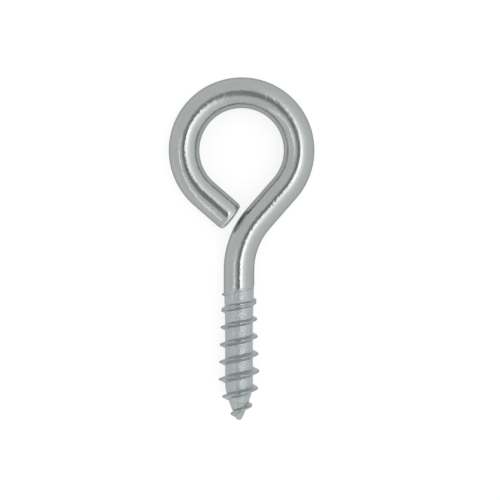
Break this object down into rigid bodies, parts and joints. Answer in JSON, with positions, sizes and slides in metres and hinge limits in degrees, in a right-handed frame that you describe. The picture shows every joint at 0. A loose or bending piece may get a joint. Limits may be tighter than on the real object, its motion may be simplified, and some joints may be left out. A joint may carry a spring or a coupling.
{
  "type": "screw eye",
  "caption": "Bright steel wire screw eye: an open round eye on an offset neck, with a coarse tapered wood thread and a point.",
  "frame": {"origin": "on the shank's axis at the top of the thread, where the plain wire ends, which is the surface of the wood when it is screwed home", "axes": "+Y along the shank from the thread to the eye, +Z square to the plane of the eye and up as the part lies, +X to the side that the neck bends to"},
  "size_m": [0.0213, 0.05, 0.006],
  "materials": {
    "zinc_steel": "bright zinc plate on drawn wire"
  },
  "bodies": {
    "root": {"screw_eye": "zinc_steel"}
  },
  "joints": []
}
